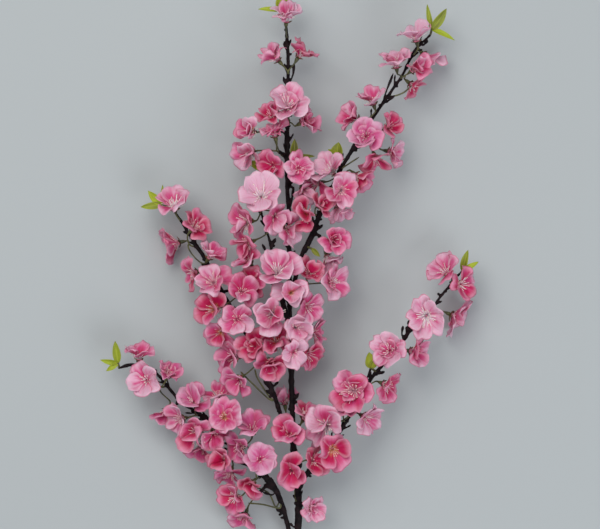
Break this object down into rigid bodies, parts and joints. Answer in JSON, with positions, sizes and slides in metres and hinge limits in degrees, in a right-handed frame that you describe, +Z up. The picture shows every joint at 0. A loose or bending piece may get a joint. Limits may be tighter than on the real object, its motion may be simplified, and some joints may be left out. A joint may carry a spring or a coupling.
{
  "type": "cherry blossom sprig",
  "caption": "Branching cherry blossom sprig lying as cut, with a dark knobbly stem, pink five-petalled blossoms on thin green stalks and small leaves at the tips.",
  "frame": {"origin": "middle of the sprig's outer box, on the surface that it lies on", "axes": "+Z up, square to the surface that the sprig lies on; +Y along the sprig from the cut end of the stem towards the tip; +X to the right, seen from above with the tip away from the viewer"},
  "size_m": [0.317, 0.5396, 0.0895],
  "materials": {
    "bark": "matt dark brown, knobbly",
    "petals": "thin matt cloth, pale pink rims to deep pink hearts",
    "leaves": "thin matt cloth, olive to yellow-green"
  },
  "bodies": {
    "root": {"branches": "bark", "blossoms_inner_1": "petals", "blossoms_inner_2": "petals", "blossoms_inner_3": "petals", "blossoms_inner_4": "petals", "blossoms_leader_1": "petals", "blossoms_leader_10": "petals", "blossoms_leader_11": "petals", "blossoms_leader_12": "petals", "blossoms_leader_13": "petals", "blossoms_leader_2": "petals", "blossoms_leader_3": "petals", "blossoms_leader_4": "petals", "blossoms_leader_5": "petals", "blossoms_leader_6": "petals", "blossoms_leader_7": "petals", "blossoms_leader_8": "petals", "blossoms_leader_9": "petals", "blossoms_left_high_1": "petals", "blossoms_left_high_2": "petals", "blossoms_left_high_3": "petals", "blossoms_left_high_4": "petals", "blossoms_left_high_5": "petals", "blossoms_left_high_6": "petals", "blossoms_left_low_1": "petals", "blossoms_left_low_2": "petals", "blossoms_left_low_3": "petals", "blossoms_left_low_4": "petals", "blossoms_left_low_5": "petals", "blossoms_left_low_6": "petals", "blossoms_left_low_7": "petals", "blossoms_left_low_8": "petals", "blossoms_left_low_9": "petals", "blossoms_right_high_1": "petals", "blossoms_right_high_10": "petals", "blossoms_right_high_2": "petals", "blossoms_right_high_3": "petals", "blossoms_right_high_4": "petals", "blossoms_right_high_5": "petals", "blossoms_right_high_6": "petals", "blossoms_right_high_7": "petals", "blossoms_right_high_8": "petals", "blossoms_right_high_9": "petals", "blossoms_right_low_1": "petals", "blossoms_right_low_2": "petals", "blossoms_right_low_3": "petals", "blossoms_right_low_4": "petals", "blossoms_right_low_5": "petals", "blossoms_right_low_6": "petals", "leaves_leader_1": "leaves", "leaves_leader_2": "leaves", "leaves_leader_3": "leaves", "leaves_left_high_1": "leaves", "leaves_left_low_1": "leaves", "leaves_left_low_2": "leaves", "leaves_right_high_1": "leaves", "leaves_right_high_2": "leaves", "leaves_right_high_3": "leaves", "leaves_right_low_1": "leaves", "leaves_right_low_2": "leaves"}
  },
  "joints": []
}
